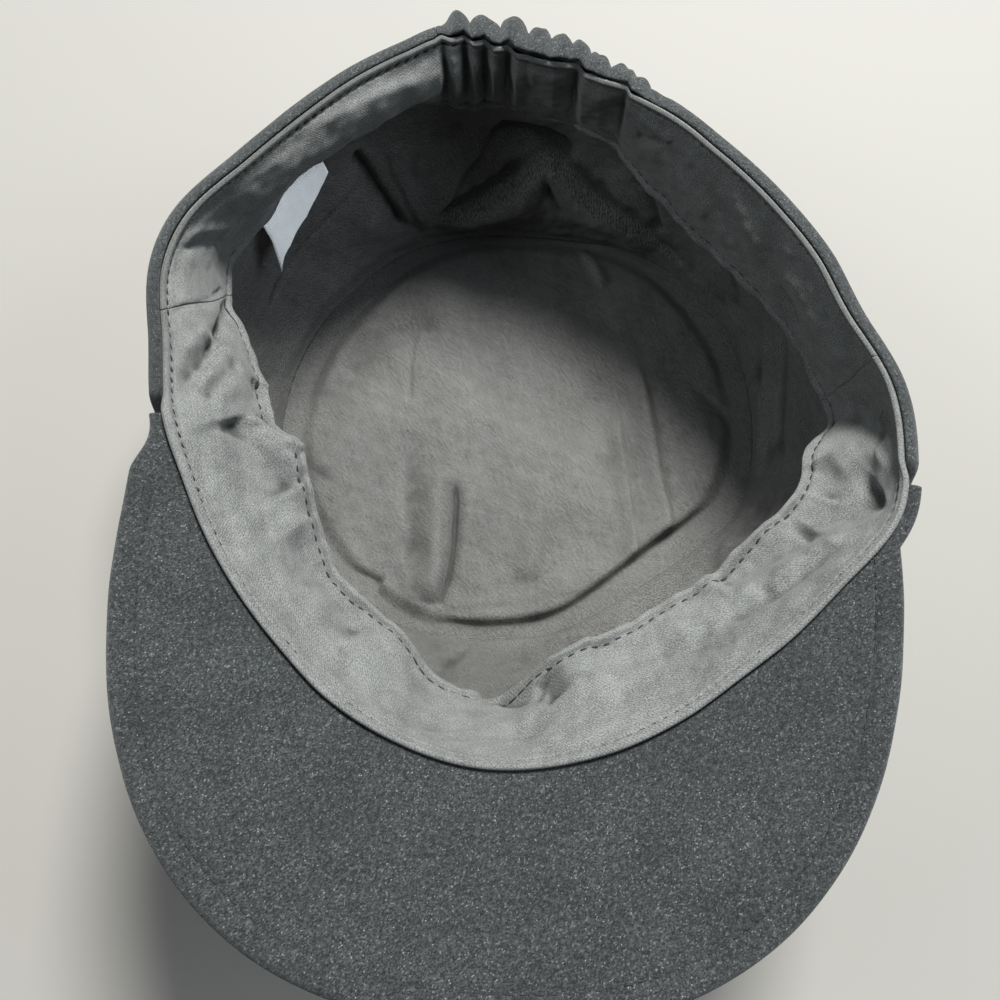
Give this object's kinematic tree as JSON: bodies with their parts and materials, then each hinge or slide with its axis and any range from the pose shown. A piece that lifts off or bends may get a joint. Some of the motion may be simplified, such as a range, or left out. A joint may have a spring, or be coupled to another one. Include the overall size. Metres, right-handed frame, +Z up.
{
  "type": "cadet cap",
  "caption": "Soft wool cap with a flat oval top, upright band, curved peak and gathered back, lying crown down so that its lined hollow shows.",
  "frame": {"origin": "centre of the crown's flat top, on the surface that it rests on", "axes": "+Z up, out of the head opening; -Y towards the peak; +X towards the cap's right as seen from above"},
  "size_m": [0.1903, 0.2519, 0.1067],
  "materials": {
    "wool": "fuzzy charcoal wool with pale flecks",
    "sweatband": "dark grey cotton with a soft sheen",
    "lining": "thin charcoal plain-woven cloth",
    "label": "plain white tape"
  },
  "bodies": {
    "root": {"crown_top": "wool", "crown_side_left": "wool", "crown_side_right": "wool", "outer_band": "wool", "back_gather": "wool", "peak": "wool", "sweatband_front": "sweatband", "sweatband_back": "sweatband", "lining_side": "lining", "lining_top": "lining", "care_label": "label"}
  },
  "joints": []
}
